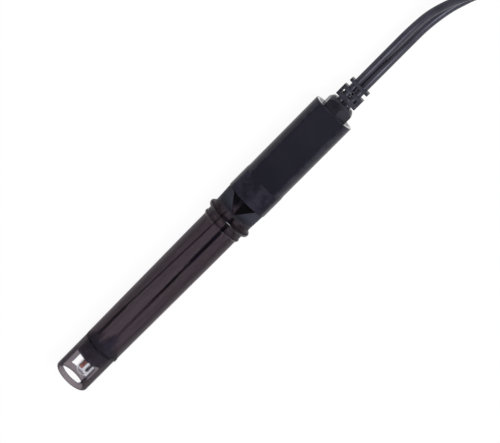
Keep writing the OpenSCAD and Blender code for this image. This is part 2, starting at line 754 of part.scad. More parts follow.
module bnc_body() color([0.75, 0.75, 0.73]) plug_at(bnc_at) difference() {
    union() {
        translate([0, 0, bnc_rear]) cylinder(d = bnc_rear_d, h = bnc_rear_len);
        translate([0, 0, bnc_neck_x - over]) cylinder(d = bnc_neck_d, h = bnc_neck_len + 2 * over);
        translate([0, 0, bnc_flange_x]) cylinder(d = bnc_flange_d, h = bnc_flange_len);
        translate([0, 0, bnc_flange_x]) cylinder(d = bnc_contact_d, h = bnc_face_x - bnc_flange_x);
    }
    translate([0, 0, bnc_neck_x]) cylinder(d = bnc_bore_d, h = bnc_len);
}

module bnc_sleeve() color([0.78, 0.78, 0.76]) plug_at(bnc_at, bnc_neck_x + bnc_clear) difference() {
    length = bnc_face_x - bnc_neck_x - 2 * bnc_clear;
    shoulder = bnc_neck_len - 2 * bnc_clear;
    cylinder(d = bnc_d, h = length);
    translate([0, 0, -over]) cylinder(d = bnc_neck_d + 2 * bnc_clear, h = length);
    translate([0, 0, shoulder]) cylinder(d = bnc_front_d, h = length);
    for (turn = [0, 180]) rotate([0, 0, turn]) {
        translate([0, -bnc_slot.x / 2, length - bnc_slot.y]) cube([bnc_d, bnc_slot.x, bnc_slot.y + over]);
        translate([0, 0, length - bnc_slot.y]) rotate([0, 0, 25]) sector(bnc_d, 50, bnc_slot.z);
    }
    for (i = [0:bnc_flutes - 1]) rotate([0, 0, 360 * (i + 0.5) / bnc_flutes]) translate([bnc_d / 2 + 0.3, 0, 0.8])
        cylinder(r = 0.7, h = shoulder + 1.2);
}

module bnc_insulator() color([0.95, 0.95, 0.93]) plug_at(bnc_at, bnc_neck_x + glue_gap) difference() {
    cylinder(d = bnc_bore_d - 2 * glue_gap, h = bnc_len / 3);
    translate([0, 0, -over]) cylinder(d = bnc_pin_d + 2 * glue_gap, h = bnc_len);
}

module bnc_pin() color([0.85, 0.68, 0.3]) plug_at(bnc_at, bnc_neck_x + glue_gap) {
    length = bnc_face_x - bnc_neck_x - 1;
    cylinder(d = bnc_pin_d, h = length - bnc_pin_d / 2);
    translate([0, 0, length - bnc_pin_d / 2]) sphere(d = bnc_pin_d);
}

module bnc_gasket() color([0.6, 0.25, 0.2]) plug_at(bnc_at, bnc_flange_x + bnc_flange_len) difference() {
    cylinder(d = bnc_flange_d, h = 1);
    translate([0, 0, -over]) cylinder(d = bnc_contact_d + 2 * glue_gap, h = 1 + 2 * over);
}

// Phono plug.
phono_ring_d = 9.2;
phono_ring_bore = 8;
phono_ring_len = 7;
phono_base = 0.6;
phono_slots = 4;
phono_flutes = 12;
phono_pin_out = 9.5;

module phono_grip() color([0.1, 0.1, 0.11]) plug_at(phono_at) difference() {
    rotate_extrude() polygon(concat(
        [[0, 0]], tail(phono_len * 0.35, 0.4, 4),
        [
            [tail_r + 0.4, phono_len * 0.35], [phono_d / 2 - 0.6, phono_len * 0.45],
            [phono_d / 2, phono_len * 0.5], [phono_d / 2, phono_len - 0.5],
            [phono_d / 2 - 0.5, phono_len], [0, phono_len]
        ]
    ));
    for (i = [0:phono_flutes - 1]) rotate([0, 0, 360 * i / phono_flutes])
        translate([phono_d / 2 + 0.25, 0, phono_len * 0.55]) cylinder(r = 0.55, h = phono_len * 0.35);
}

module phono_ring() color([0.78, 0.78, 0.76]) plug_at(phono_at, phono_len) difference() {
    cylinder(d = phono_ring_d, h = phono_ring_len);
    translate([0, 0, phono_base]) cylinder(d = phono_ring_bore, h = phono_ring_len);
    translate([0, 0, -over]) cylinder(d = phono_ring_bore - 2, h = phono_ring_len);
    for (i = [0:phono_slots - 1]) rotate([0, 0, 45 + 90 * i])
        translate([0, -0.3, phono_ring_len / 2]) cube([phono_ring_d, 0.6, phono_ring_len]);
}

module phono_insulator() color([0.92, 0.92, 0.9]) plug_at(phono_at, phono_len + phono_base) difference() {
    cylinder(d = phono_ring_bore - 2 * glue_gap, h = 1.6);
    translate([0, 0, -over]) cylinder(d = phono_pin_d + 2 * glue_gap, h = 1.6 + 2 * over);
}

module phono_pin() color([0.8, 0.8, 0.78]) plug_at(phono_at, phono_len) {
    cylinder(d = phono_pin_d, h = phono_pin_out - phono_pin_d / 2);
    translate([0, 0, phono_pin_out - phono_pin_d / 2]) sphere(d = phono_pin_d);
}

tip_guard();
sensor_plug();
plug_o_ring();
glass_bulb();
tube_bung();
inner_element();
thermistor();
reference_junction();
reference_rod();
reference_wire();
wire_sleeve();
inner_lead();
splice_joint();
splice_sleeve();
inner_cable();
cable_ferrule();
stem_tube();
neck_bung();
head_shell();
nameplate();
terminal_board();
terminal_posts();
end_cap();
cable_gland();
strain_relief();
cord_tails();
ph_cord();
ph_hank();
ph_cord_end();
temp_cord();
temp_hank();
temp_cord_end();
hank_tie();
bnc_boot();
bnc_body();
bnc_sleeve();
bnc_insulator();
bnc_pin();
bnc_gasket();
phono_grip();
phono_ring();
phono_insulator();
phono_pin();
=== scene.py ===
"""Water quality probe on a bench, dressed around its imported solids."""
import math

import bpy
from mathutils import Matrix, Vector


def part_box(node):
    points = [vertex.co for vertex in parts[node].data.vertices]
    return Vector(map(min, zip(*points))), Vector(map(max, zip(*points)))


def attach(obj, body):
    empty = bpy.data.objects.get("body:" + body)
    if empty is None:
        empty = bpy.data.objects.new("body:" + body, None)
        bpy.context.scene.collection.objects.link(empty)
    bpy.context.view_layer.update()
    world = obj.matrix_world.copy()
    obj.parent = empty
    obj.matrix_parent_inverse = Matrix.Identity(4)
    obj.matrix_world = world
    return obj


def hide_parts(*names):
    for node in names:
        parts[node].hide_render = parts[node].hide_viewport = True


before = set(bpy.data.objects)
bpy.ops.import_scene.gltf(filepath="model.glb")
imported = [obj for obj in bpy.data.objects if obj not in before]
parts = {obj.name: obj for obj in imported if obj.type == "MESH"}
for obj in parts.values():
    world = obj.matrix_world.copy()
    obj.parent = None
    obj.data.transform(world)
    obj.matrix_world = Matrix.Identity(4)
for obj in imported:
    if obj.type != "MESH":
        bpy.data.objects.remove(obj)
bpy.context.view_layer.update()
bpy.ops.object.select_all(action="DESELECT")

# Viewpoint. The probe runs up to the right across the frame, seen from above
# with the camera leaning towards the cords.
MM = 0.001
tip_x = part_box("tip_guard")[0].x / MM
axis_z = 9.76
lean = math.radians(12.4)
aim_u, aim_y, camera_far = 95.2, -6.55, 630
along = Vector((math.cos(lean), 0, -math.sin(lean)))
across = Vector((0, 1, 0))
towards_camera = Vector((math.sin(lean), 0, math.cos(lean)))
picture_right = (along - across).normalized()
picture_up = (along + across).normalized()
aim = Vector((tip_x + aim_u, aim_y, axis_z)) * MM
bpy.ops.object.camera_add(location=aim + towards_camera * camera_far * MM)
camera = bpy.context.object
camera.rotation_euler = Matrix((picture_right, picture_up, towards_camera)).transposed().to_euler()
camera.data.sensor_width = 36
camera.data.lens = 119.2
bpy.context.scene.camera = camera
bpy.context.scene.view_settings.view_transform = "Standard"


# Sensing bulb. A round-ended tube of thin pH glass, blown and fire polished, cemented
# into the plug. Inside it sit the inner element, coated red-brown, and the dark sheath
# of the thermistor, both held by a polymer bung.
def srgb(code):
    """A hex colour as linear red, green, blue and alpha."""
    shares = [int(code[i:i + 2], 16) / 255 for i in (1, 3, 5)]
    return [c / 12.92 if c <= 0.04045 else ((c + 0.055) / 1.055) ** 2.4 for c in shares] + [1]


def add(tree, kind, settings, inputs):
    """A shader node with its settings. An input is a value or another node's output.

    The setting called stops holds a colour ramp's pairs of place and hex colour.
    """
    made = tree.nodes.new("ShaderNode" + kind)
    for name, value in settings.items():
        if name != "stops":
            setattr(made, name, value)
            continue
        while len(made.color_ramp.elements) < len(value):
            made.color_ramp.elements.new(0.5)
        for stop, (place, code) in zip(made.color_ramp.elements, value):
            stop.position = place
            stop.color = srgb(code)
    for name, value in inputs.items():
        if isinstance(value, bpy.types.NodeSocket):
            tree.links.new(value, made.inputs[name])
        else:
            made.inputs[name].default_value = value
    return made


def blank(name):
    """A new material with no nodes yet."""
    made = bpy.data.materials.new(name)
    made.use_nodes = True
    made.node_tree.nodes.clear()
    return made, made.node_tree


def wear(made, *names):
    """Gives the named solids this finish."""
    for name in names:
        parts[name].data.materials.clear()
        parts[name].data.materials.append(made)


def streaks(tree, long_mm, wide_mm):
    """Noise drawn out along the probe, as flow lines in moulded or drawn pieces are."""
    place = add(tree, "TexCoord", {}, {}).outputs["Object"]
    drawn = add(tree, "Mapping", {}, {
        "Vector": place, "Scale": (1 / (long_mm * MM), 1 / (wide_mm * MM), 1 / (wide_mm * MM))})
    noise = add(tree, "TexNoise", {}, {"Vector": drawn.outputs["Vector"], "Scale": 1, "Detail": 3})
    return noise.outputs["Fac"]


def moulded(name, dark, light, rough, grain_mm, dent, specular=0.5, cloud_mm=9):
    """Moulded polymer: a fine grain in its surface and gloss, and a soft cloud in its colour.

    A real mould's grain is finer. It is drawn this coarse so that it shows.
    """
    made, tree = blank(name)
    place = add(tree, "TexCoord", {}, {}).outputs["Object"]
    grain = add(tree, "TexNoise", {}, {
        "Vector": place, "Scale": 1 / (grain_mm * MM), "Detail": 4}).outputs["Fac"]
    cloud = add(tree, "TexNoise", {}, {
        "Vector": place, "Scale": 1 / (cloud_mm * MM), "Detail": 3}).outputs["Fac"]
    gloss = add(tree, "MapRange", {}, {"Value": grain, "To Min": rough * 0.85, "To Max": rough * 1.15})
    bump = add(tree, "Bump", {}, {"Height": grain, "Strength": 0.3, "Distance": dent * MM})
    colour = add(tree, "ValToRGB", {"stops": [(0.35, dark), (0.65, light)]}, {"Fac": cloud})
    skin = add(tree, "BsdfPrincipled", {}, {
        "Base Color": colour.outputs["Color"], "Roughness": gloss.outputs["Result"],
        "Normal": bump.outputs["Normal"], "Specular IOR Level": specular, "Specular Tint": srgb("#e0e0f8")})
    add(tree, "OutputMaterial", {}, {"Surface": skin.outputs["BSDF"]})
    return made


# Thin clear glass: nearly colourless, with faint drawn streaks and a sharp gleam. The clear
# pieces have a low index, so that what is inside them looks straight, and a slight haze, which
# keeps the render free of grain and blurs little at such an index.
clear_haze = 0.28
ph_glass, tree = blank("ph_glass")
drawn = add(tree, "ValToRGB", {"stops": [(0.3, "#dddce2"), (0.7, "#ececf0")]}, {"Fac": streaks(tree, 8, 2)})
body = add(tree, "BsdfPrincipled", {}, {
    "Base Color": drawn.outputs["Color"], "Roughness": clear_haze, "IOR": 1.02,
    "Transmission Weight": 0.97, "Coat Weight": 0.35, "Coat Roughness": 0.04})
add(tree, "OutputMaterial", {}, {"Surface": body.outputs["BSDF"]})
bulb_low, bulb_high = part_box("glass_bulb")
bulb_r = (bulb_high.y - bulb_low.y) / 2
bulb_x = bulb_low.x + bulb_r
bulb_wall = 0.45
bpy.ops.mesh.primitive_uv_sphere_add(
    segments=48, ring_count=24, radius=bulb_r, rotation=(0, math.pi / 2, 0),
    location=(bulb_x, (bulb_low.y + bulb_high.y) / 2, (bulb_low.z + bulb_high.z) / 2))
bulb = bpy.context.object
bulb.name = "blown_bulb"
bpy.ops.object.transform_apply(location=True, rotation=True, scale=True)
bpy.ops.object.mode_set(mode="EDIT")
bpy.ops.mesh.select_all(action="DESELECT")
bpy.ops.object.mode_set(mode="OBJECT")
for corner in bulb.data.vertices:
    corner.select = corner.co.x > bulb_x + 0.01 * MM
bpy.ops.object.mode_set(mode="EDIT")
bpy.ops.mesh.delete(type="VERT")
bpy.ops.mesh.select_non_manifold()
bpy.ops.mesh.extrude_edges_move(TRANSFORM_OT_translate={"value": (bulb_high.x - bulb_x, 0, 0)})
bpy.ops.object.mode_set(mode="OBJECT")
wall = bulb.modifiers.new("wall", "SOLIDIFY")
wall.thickness = bulb_wall * MM
wall.offset = -1
bpy.ops.object.modifier_apply(modifier="wall")
smooth_angle = math.radians(40)
bpy.ops.object.shade_smooth_by_angle(angle=smooth_angle)
bulb.data.materials.append(ph_glass)
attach(bulb, "probe")
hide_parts("glass_bulb")

# Baked-on red-brown coat: dull, flaky and uneven in colour.
coat, tree = blank("red_brown_coat")
place = add(tree, "TexCoord", {}, {}).outputs["Object"]
flake = add(tree, "TexNoise", {}, {"Vector": place, "Scale": 1 / (0.9 * MM), "Detail": 6}).outputs["Fac"]
crust = add(tree, "Bump", {}, {"Height": flake, "Strength": 0.5, "Distance": 0.03 * MM})
rust = add(tree, "ValToRGB", {"stops": [(0.3, "#8c3a26"), (0.5, "#a44e38"), (0.75, "#ba7864")]}, {
    "Fac": flake})
body = add(tree, "BsdfPrincipled", {}, {
    "Base Color": rust.outputs["Color"], "Roughness": 0.6, "Normal": crust.outputs["Normal"]})
add(tree, "OutputMaterial", {}, {"Surface": body.outputs["BSDF"]})
wear(coat, "inner_element")
# Cast epoxy: dark grey with a soft, even shine.
wear(moulded("epoxy_sheath", "#454449", "#545358", 0.35, 0.3, 0.003), "thermistor")
# Moulded bung: darker and duller than the sheath it holds.
wear(moulded("bung_polymer", "#3a3a42", "#44444d", 0.5, 0.4, 0.004), "tube_bung")

# Sensor plug. Light blue-grey polymer, turned, pushed into the stem's end on an O-ring and
# cemented, so that it looks dark through the tinted walls. A porous ceramic pin through it
# lets the reference electrolyte reach the water.
# Turned polymer: satin and cloudy. Its back face, under the collar, is painted pale: painted light.
plug_polymer = moulded("plug_polymer", "#b0bcd4", "#bcc8de", 0.45, 0.5, 0.004, 0.5, 3)
lit_face_top, lit_face_fade = 2, 0.2
tree = plug_polymer.node_tree
body = tree.nodes["Principled BSDF"]
place = add(tree, "TexCoord", {}, {}).outputs["Object"]
back = add(tree, "SeparateXYZ", {}, {
    "Vector": add(tree, "NewGeometry", {}, {}).outputs["Normal"]}).outputs["X"]
back = add(tree, "MapRange", {}, {"Value": back, "From Min": 0.6, "From Max": 0.9}).outputs["Result"]
low = add(tree, "SeparateXYZ", {}, {"Vector": place}).outputs["Z"]
low = add(tree, "MapRange", {}, {
    "Value": low, "From Min": (axis_z + lit_face_top + lit_face_fade) * MM,
    "From Max": (axis_z + lit_face_top - lit_face_fade) * MM}).outputs["Result"]
back = add(tree, "Math", {"operation": "MULTIPLY"}, {0: back, 1: low}).outputs[0]
cloud = body.inputs["Base Color"].links[0].from_socket
# Painted light: a near-white colour on the back face below the collar's top.
painted_light_face = add(tree, "Mix", {"data_type": "RGBA"}, {0: back, 6: cloud, 7: srgb("#f4f0f2")}).outputs[2]
tree.links.new(painted_light_face, body.inputs["Base Color"])
wear(plug_polymer, "sensor_plug")
# Moulded rubber: matt, a shade darker than the plug.
wear(moulded("seal_rubber", "#98a4b8", "#a2aec2", 0.6, 0.15, 0.01, 0.3), "plug_o_ring")
# Fired ceramic: chalky white with dark open pores.
ceramic, tree = blank("porous_ceramic")
place = add(tree, "TexCoord", {}, {}).outputs["Object"]
pores = add(tree, "TexVoronoi", {}, {"Vector": place, "Scale": 1 / (0.12 * MM)}).outputs["Distance"]
pits = add(tree, "Bump", {}, {"Height": pores, "Strength": 0.6, "Distance": 0.02 * MM})
chalk = add(tree, "ValToRGB", {"stops": [(0.05, "#a79f90"), (0.35, "#e4e0d6")]}, {"Fac": pores})
body = add(tree, "BsdfPrincipled", {}, {
    "Base Color": chalk.outputs["Color"], "Roughness": 0.85, "Normal": pits.outputs["Normal"]})
add(tree, "OutputMaterial", {}, {"Surface": body.outputs["BSDF"]})
wear(ceramic, "reference_junction")


# Tip guard. An open cage of smoke-tinted clear polymer, injection moulded, that pushes over
# the plug and pulls off. Its cut faces are painted darker than its polished faces, as painted shade.
def smoked(name, face, edge, index, through, depth, lines, shine):
    """Tinted clear polymer, with painted shade on its cut faces and in the given lines along its upper side.

    The lines and the shine are pairs of a distance from the tip and a hex colour.
    """
    made, tree = blank(name)
    geometry = add(tree, "NewGeometry", {}, {}).outputs
    place = add(tree, "TexCoord", {}, {}).outputs["Object"]
    out = add(tree, "VectorMath", {"operation": "SUBTRACT"}, {0: place, 1: (0, 0, axis_z * MM)})
    out = add(tree, "VectorMath", {"operation": "MULTIPLY"}, {0: out.outputs[0], 1: (0, 1, 1)})
    out = add(tree, "VectorMath", {"operation": "NORMALIZE"}, {0: out.outputs[0]})
    facing = add(tree, "VectorMath", {"operation": "DOT_PRODUCT"}, {
        0: out.outputs[0], 1: geometry["Normal"]})
    facing = add(tree, "Math", {"operation": "ABSOLUTE"}, {0: facing.outputs["Value"]}).outputs[0]
    # Faces that don't face out from the axis, such as cut faces and the rings' slopes, take the darker edge
    # colour: painted shade.
    tint = add(tree, "ValToRGB", {"stops": [(0.5, edge), (0.8, face)]}, {"Fac": facing}).outputs["Color"]
    flow = streaks(tree, 30, 1.2)
    wave = add(tree, "ValToRGB", {"stops": [(0.25, "#e6e4e6"), (0.75, "#ffffff")]}, {"Fac": flow})
    low, high = lines[0][0], lines[-1][0]
    station = add(tree, "SeparateXYZ", {}, {"Vector": place}).outputs["X"]
    station = add(tree, "MapRange", {}, {
        "Value": station, "From Min": (tip_x + low) * MM, "From Max": (tip_x + high) * MM}).outputs["Result"]
    bands, gleam = [
        add(tree, "ValToRGB", {"stops": [((u - low) / (high - low), code) for u, code in marks]}, {
            "Fac": station}).outputs["Color"] for marks in (lines, shine)]
    upper = add(tree, "SeparateXYZ", {}, {"Vector": geometry["Normal"]}).outputs["Z"]
    upper = add(tree, "MapRange", {}, {"Value": upper, "From Min": 0.02, "From Max": 0.1}).outputs["Result"]
    for layer, share in ((wave.outputs["Color"], 1.0), (bands, upper)):
        tint = add(tree, "Mix", {"data_type": "RGBA", "blend_type": "MULTIPLY"}, {
            0: share, 6: tint, 7: layer}).outputs[2]
    ripple = add(tree, "Bump", {}, {"Height": flow, "Strength": 0.2, "Distance": 0.01 * MM})
    body = add(tree, "BsdfPrincipled", {}, {
        "Base Color": tint, "Roughness": clear_haze, "IOR": index, "Transmission Weight": through,
        "Coat Weight": gleam, "Coat Roughness": 0.05, "Coat Normal": ripple.outputs["Normal"]})
    bulk = add(tree, "VolumeAbsorption", {}, {"Color": srgb("#7f7a80"), "Density": depth / MM})
    add(tree, "OutputMaterial", {}, {"Surface": body.outputs["BSDF"], "Volume": bulk.outputs["Volume"]})
    return made


# Moulded smoke tint: brown-grey and see-through, a little darker on its upper side at the mouth,
# with a thin dark line of painted shade at the joint with the stem, and an even, moderate gleam.
guard_lines = [
    (0, "#d0ced4"), (0.5, "#ffffff"),
    (17.85, "#ffffff"), (17.9, "#140e20"), (18.1, "#140e20"), (18.15, "#ffffff"),
    (18.55, "#ffffff"), (18.6, "#140e20"), (18.75, "#140e20")]
guard_gleam = [(0, "#585858"), (18.75, "#585858")]
wear(smoked("guard_polymer", "#a59ba0", "#7c7a86", 1.06, 0.99, 0.3, guard_lines, guard_gleam), "tip_guard")

# Reference electrode. A silver rod with a chloride coat stands on the plug beside the lead,
# and its silver wire runs up to the neck, where a black sleeve covers it.
# Chloride coat: slate grey, matt and a little rough.
wear(moulded("silver_chloride", "#545362", "#646374", 0.6, 0.2, 0.02, 0.3, 2), "reference_rod")
# Drawn silver, tarnished: a blue-grey metal, brighter along some of its drawing marks.
silver, tree = blank("tarnished_silver")
dull = streaks(tree, 3, 0.3)
tarnish = add(tree, "ValToRGB", {"stops": [(0.3, "#3e4050"), (0.7, "#626474")]}, {"Fac": dull})
gloss = add(tree, "MapRange", {}, {"Value": dull, "To Min": 0.45, "To Max": 0.25})
body = add(tree, "BsdfPrincipled", {}, {
    "Base Color": tarnish.outputs["Color"], "Metallic": 1, "Roughness": gloss.outputs["Result"]})
add(tree, "OutputMaterial", {}, {"Surface": body.outputs["BSDF"]})
wear(silver, "reference_wire")
# Extruded jacket: looks black through the tint, with a cast of purple.
wire_jacket = moulded("wire_jacket", "#220a46", "#2a1050", 0.45, 0.3, 0.004, 0.4, 4)
wear(wire_jacket, "wire_sleeve")

# Bulb lead. The lead from the bulb comes out of the plug's collar, is soldered to the core
# of a thin black cable, and a grey shrink sleeve covers the joint.
# Varnished lead: pale and half clear near the plug, darker towards the splice, faintly twisted.
lead_pale_u, lead_dark_u = 24, 62
lead, tree = blank("varnished_lead")
place = add(tree, "TexCoord", {}, {}).outputs["Object"]
station = add(tree, "SeparateXYZ", {}, {"Vector": place}).outputs["X"]
station = add(tree, "MapRange", {}, {
    "Value": station, "From Min": (tip_x + lead_pale_u) * MM,
    "From Max": (tip_x + lead_dark_u) * MM}).outputs["Result"]
wind = add(tree, "TexWave", {}, {
    "Vector": place, "Scale": 1 / (1.6 * MM), "Distortion": 2, "Detail": 2}).outputs["Fac"]
twist = add(tree, "Bump", {}, {"Height": wind, "Strength": 0.4, "Distance": 0.02 * MM})
varnish = add(tree, "ValToRGB", {"stops": [(0.1, "#d2ced4"), (0.45, "#b8b2bc"), (0.75, "#3a3042")]}, {
    "Fac": station})
body = add(tree, "BsdfPrincipled", {}, {
    "Base Color": varnish.outputs["Color"], "Roughness": clear_haze, "IOR": 1.03,
    "Transmission Weight": 0.85, "Coat Weight": 0.1, "Coat Normal": twist.outputs["Normal"]})
add(tree, "OutputMaterial", {}, {"Surface": body.outputs["BSDF"]})
wear(lead, "inner_lead")
# Solder: lumpy dark grey metal with broad, dull highlights.
solder, tree = blank("dull_solder")
place = add(tree, "TexCoord", {}, {}).outputs["Object"]
lump = add(tree, "TexNoise", {}, {"Vector": place, "Scale": 1 / (0.8 * MM), "Detail": 2}).outputs["Fac"]
lumps = add(tree, "Bump", {}, {"Height": lump, "Strength": 0.8, "Distance": 0.08 * MM})
dross = add(tree, "ValToRGB", {"stops": [(0.3, "#2a2730"), (0.7, "#5a5860")]}, {"Fac": lump})
body = add(tree, "BsdfPrincipled", {}, {
    "Base Color": dross.outputs["Color"], "Metallic": 1, "Roughness": 0.4, "Normal": lumps.outputs["Normal"]})
add(tree, "OutputMaterial", {}, {"Surface": body.outputs["BSDF"]})
wear(solder, "splice_joint")
# Shrunk sleeve: mid grey and satin, so that it stands out from the cable.
wear(moulded("grey_shrink_sleeve", "#787888", "#848494", 0.45, 0.3, 0.004, 0.4, 3), "splice_sleeve")
wear(wire_jacket, "inner_cable")

# Stem. A tube of the guard's smoke-tinted polymer, injection moulded and polished, full of
# electrolyte, so that the wires show with little bending of the light. Two rings and a neck
# with a flat on its front, which takes the head, are moulded on it.
# Moulded smoke tint: as the guard's, with painted shade in a dark line where the guard ends,
# in one on the near side of each ring and a fainter one at its foot, and over the neck, which
# darkens towards the rim. The gleam is strong on the rings' slopes and gone in their painted
# dark lines.
stem_shade_lines = [
    (18, "#140e20"), (18.5, "#140e20"), (18.6, "#ffffff"),
    (86.6, "#ffffff"), (86.75, "#5e5c6a"), (87.05, "#5e5c6a"), (87.3, "#ffffff"),
    (87.7, "#d0ced8"), (88.2, "#ffffff"),
    (90.6, "#ffffff"), (90.85, "#5a5866"), (91.25, "#5a5866"), (91.5, "#ffffff"),
    (92.1, "#dcdae4"), (92.5, "#ffffff"), (93.6, "#f0f0f6"), (100.4, "#d8d8e2")]
stem_gleam = [
    (18, "#505050"), (85.6, "#505050"),
    (85.7, "#8c8c8c"), (86.4, "#b8b8b8"), (86.8, "#b8b8b8"), (86.85, "#000000"), (87.25, "#000000"),
    (87.3, "#505050"), (89.3, "#505050"),
    (89.4, "#8c8c8c"), (90.4, "#b8b8b8"), (90.9, "#b8b8b8"), (90.95, "#000000"), (91.5, "#000000"),
    (91.6, "#505050"), (100.4, "#505050")]
smoke_polymer = smoked("smoke_polymer", "#a99fa6", "#8a8288", 1.03, 0.99, 0.26, stem_shade_lines, stem_gleam)
wear(smoke_polymer, "stem_tube")
# Round the flat the neck turns blue-grey and less clear towards the rim: painted light for
# the light that its thick, curved walls bend in from the sides. The wall behind the flat is
# darkened the same way, as painted shade, more on one side than on the other.
neck_u, rim_u, flat_half = 93.4, 100.4, 5.5
neck_paint_from, neck_paint_to = -0.4, 4
tree = smoke_polymer.node_tree
body = tree.nodes["Principled BSDF"]
place = add(tree, "TexCoord", {}, {}).outputs["Object"]
place = add(tree, "SeparateXYZ", {}, {"Vector": place}).outputs
grown = add(tree, "MapRange", {"clamp": False}, {
    "Value": place["X"], "From Min": (tip_x + neck_u) * MM, "From Max": (tip_x + rim_u) * MM,
    "To Max": flat_half * MM}).outputs["Result"]
aside = add(tree, "Math", {"operation": "ABSOLUTE"}, {0: place["Y"]}).outputs[0]
aside = add(tree, "Math", {"operation": "SUBTRACT"}, {0: aside, 1: grown}).outputs[0]
aside = add(tree, "MapRange", {}, {
    "Value": aside, "From Min": -0.1 * MM, "From Max": 0.1 * MM}).outputs["Result"]
# Painted shade in the wall below the axis, behind the flat: full on the side of positive y, about a third on
# the other.
under = add(tree, "MapRange", {}, {
    "Value": place["Z"], "From Min": axis_z * MM, "From Max": (axis_z - 0.5) * MM}).outputs["Result"]
strip = add(tree, "MapRange", {}, {
    "Value": place["Y"], "From Min": 1.4 * MM, "From Max": 2.4 * MM, "To Min": 0.35}).outputs["Result"]
under = add(tree, "Math", {"operation": "MULTIPLY"}, {0: under, 1: strip}).outputs[0]
aside = add(tree, "Math", {"operation": "MAXIMUM"}, {0: aside, 1: under}).outputs[0]
painted_neck_mask = add(tree, "MapRange", {}, {
    "Value": place["X"], "From Min": (tip_x + neck_u + neck_paint_from) * MM,
    "From Max": (tip_x + neck_u + neck_paint_to) * MM}).outputs["Result"]
painted_neck_mask = add(tree, "Math", {"operation": "MULTIPLY"}, {0: painted_neck_mask, 1: aside}).outputs[0]
# Painted light: the neck's sides and the wall behind the flat take a blue-grey, less clear skin.
clear = body.inputs["Base Color"].links[0].from_socket
skin = add(tree, "MapRange", {}, {"Value": painted_neck_mask, "From Max": 0.35}).outputs["Result"]
painted_neck_colour = add(tree, "Mix", {"data_type": "RGBA"}, {0: skin, 6: clear, 7: srgb("#40404b")}).outputs[2]
tree.links.new(painted_neck_colour, body.inputs["Base Color"])
through = add(tree, "MapRange", {}, {"Value": painted_neck_mask, "To Min": 0.99, "To Max": 0.4}).outputs["Result"]
tree.links.new(through, body.inputs["Transmission Weight"])

# Neck fittings. A stepped black nylon sleeve, turned, holds the cable where it enters the
# neck, and a moulded rubber bung, pushed into the spigot, closes the stem.
# Turned nylon: blue-black with a soft shine.
wear(moulded("black_nylon", "#101018", "#16161e", 0.4, 0.4, 0.004, 0.4, 4), "cable_ferrule")
# Moulded rubber: dark and matt, with no clear highlight.
wear(moulded("bung_rubber", "#1a191c", "#222124", 0.7, 0.2, 0.01, 0.3, 4), "neck_bung")


# Head. A black shell with a fine spark texture, injection moulded, glued over the neck's
# spigot. Its skirt closes on the stem's rim and its flat front carries the nameplate.
def soften(width, *names):
    """Rounds the edges of moulded solids, as the mould's own edges are."""
    for name in names:
        weld = parts[name].modifiers.new("weld", "WELD")
        weld.merge_threshold = 0.001 * MM
        edge = parts[name].modifiers.new("edge", "BEVEL")
        edge.width = width * MM
        edge.segments = 2
        edge.limit_method = "ANGLE"
        edge.angle_limit = math.radians(38)
        parts[name].modifiers.new("shade", "WEIGHTED_NORMAL")


soften(0.15, "head_shell", "nameplate", "cable_gland", "strain_relief")
# Spark-textured plastic: blue-black and softly mottled, with little shine on its sides and a
# polished end face that catches the light.
black_abs = moulded("black_abs", "#1b1a22", "#272630", 0.28, 0.25, 0.002, 0.14, 2.6)
tree = black_abs.node_tree
end = add(tree, "NewGeometry", {}, {}).outputs["Normal"]
end = add(tree, "SeparateXYZ", {}, {"Vector": end}).outputs["X"]
end = add(tree, "MapRange", {}, {"Value": end, "From Min": 0.4, "From Max": 0.9}).outputs["Result"]
body = tree.nodes["Principled BSDF"]
body.inputs["Coat Roughness"].default_value = 0.12
tree.links.new(end, body.inputs["Coat Weight"])
wear(black_abs, "head_shell")

# Nameplate. A thin moulded plate with a satin black face, stuck into the seat in the head's
# flat front and left bare.
# Satin plastic: smoother and a little darker than the head round it.
wear(moulded("satin_plate", "#121119", "#17161e", 0.3, 0.12, 0.001, 0.3, 12), "nameplate")

# Terminal board. A small glass-fibre board in the head, where the cords' cores and the
# probe's wires are soldered to gold-plated posts.
# Lacquered glass fibre: green with a shallow woven grid and a smooth shine.
board, tree = blank("glass_fibre_board")
place = add(tree, "TexCoord", {}, {}).outputs["Object"]
weave_x, weave_y = [
    add(tree, "TexWave", {"bands_direction": way}, {"Vector": place, "Scale": 1 / (2.2 * MM)}).outputs["Fac"]
    for way in "XY"]
weave = add(tree, "Math", {"operation": "MAXIMUM"}, {0: weave_x, 1: weave_y}).outputs[0]
cloth = add(tree, "Bump", {}, {"Height": weave, "Strength": 0.2, "Distance": 0.02 * MM})
lacquer = add(tree, "ValToRGB", {"stops": [(0.2, "#1f5a38"), (0.9, "#2c6e46")]}, {"Fac": weave})
body = add(tree, "BsdfPrincipled", {}, {
    "Base Color": lacquer.outputs["Color"], "Roughness": 0.35, "Normal": cloth.outputs["Normal"]})
add(tree, "OutputMaterial", {}, {"Surface": body.outputs["BSDF"]})
wear(board, "terminal_board")


def plated(name, dark, light, rough, long_mm, wide_mm):
    """Plated metal with fine turning or drawing marks, drawn coarse enough to show."""
    made, tree = blank(name)
    marks = streaks(tree, long_mm, wide_mm)
    gloss = add(tree, "MapRange", {}, {"Value": marks, "To Min": rough * 0.7, "To Max": rough * 1.3})
    fine = add(tree, "Bump", {}, {"Height": marks, "Strength": 0.15, "Distance": 0.01 * MM})
    colour = add(tree, "ValToRGB", {"stops": [(0.3, dark), (0.7, light)]}, {"Fac": marks})
    body = add(tree, "BsdfPrincipled", {}, {
        "Base Color": colour.outputs["Color"], "Metallic": 1,
        "Roughness": gloss.outputs["Result"], "Normal": fine.outputs["Normal"]})
    add(tree, "OutputMaterial", {}, {"Surface": body.outputs["BSDF"]})
    return made


# Gold plate on drawn pins: warm yellow with small, sharp highlights.
gold = plated("gold_plate", "#d9b25c", "#e8c878", 0.2, 1.5, 0.4)
wear(gold, "terminal_posts")

